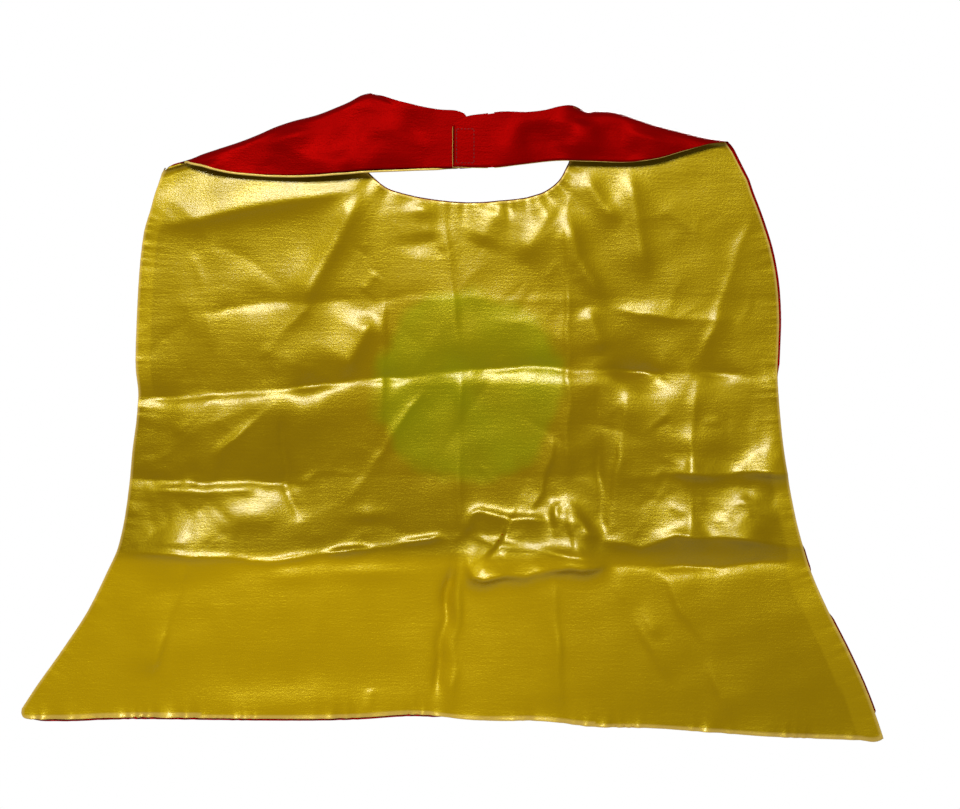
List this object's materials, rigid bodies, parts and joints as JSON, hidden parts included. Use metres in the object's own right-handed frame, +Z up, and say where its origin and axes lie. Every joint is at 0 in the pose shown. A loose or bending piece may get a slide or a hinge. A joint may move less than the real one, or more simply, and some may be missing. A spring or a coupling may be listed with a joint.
{
  "type": "superhero cape",
  "caption": "Child's satin cape with a lining, two neck bands that close with hook and loop at the throat, and a round star emblem on the back.",
  "frame": {"origin": "middle of the neck opening, level with the crests of the shoulder folds that hang on a hanger's arms", "axes": "+X along the shoulders towards the band that closes on top, +Z up, -Y towards the neck bands, +Y out of the shell side of the back"},
  "size_m": [0.6505, 0.0274, 0.4876],
  "materials": {
    "shell_satin": "glossy polyester satin",
    "lining_satin": "glossy polyester satin",
    "tape": "hook and loop tape, matte",
    "thread": "sewing thread",
    "emblem_disc": "felt, matte",
    "emblem_star": "felt, matte"
  },
  "bodies": {
    "shoulders": {"shoulder_shell": "shell_satin", "shoulder_lining": "lining_satin"},
    "back_panel": {"back_shell": "shell_satin", "back_lining": "lining_satin", "emblem_disc": "emblem_disc", "emblem_star": "emblem_star"},
    "left_band": {"left_band_shell": "shell_satin", "left_band_lining": "lining_satin", "loop_tape": "tape", "loop_tape_stitching": "thread"},
    "right_band": {"right_band_shell": "shell_satin", "right_band_lining": "lining_satin"},
    "right_end": {"right_end_shell": "shell_satin", "right_end_lining": "lining_satin", "hook_tape": "tape", "hook_tape_stitching": "thread"}
  },
  "joints": [
    {"name": "back_panel_swing", "type": "hinge", "parent": "shoulders", "child": "back_panel", "pos_m": [0, 0.0059, -0.086], "axis": [1, 0, 0], "range_deg": [-15, 80]},
    {"name": "right_band_lift", "type": "hinge", "parent": "shoulders", "child": "right_band", "pos_m": [0.09568, -0.0059, -0.01487], "axis": [-0.9784, 0, 0.2066], "range_deg": [0, 150]},
    {"name": "left_band_lift", "type": "hinge", "parent": "shoulders", "child": "left_band", "pos_m": [-0.06603, -0.0059, -0.00022], "axis": [-0.9364, 0, -0.3509], "range_deg": [0, 75]},
    {"name": "closure_peel", "type": "hinge", "parent": "right_band", "child": "right_end", "pos_m": [0.0189, -0.0107, -0.0358], "axis": [0, 0, 1], "range_deg": [0, 110]}
  ],
  "couplings": [
    {"joint": "left_band_lift", "follows": "right_band_lift", "ratio": 0.5}
  ]
}
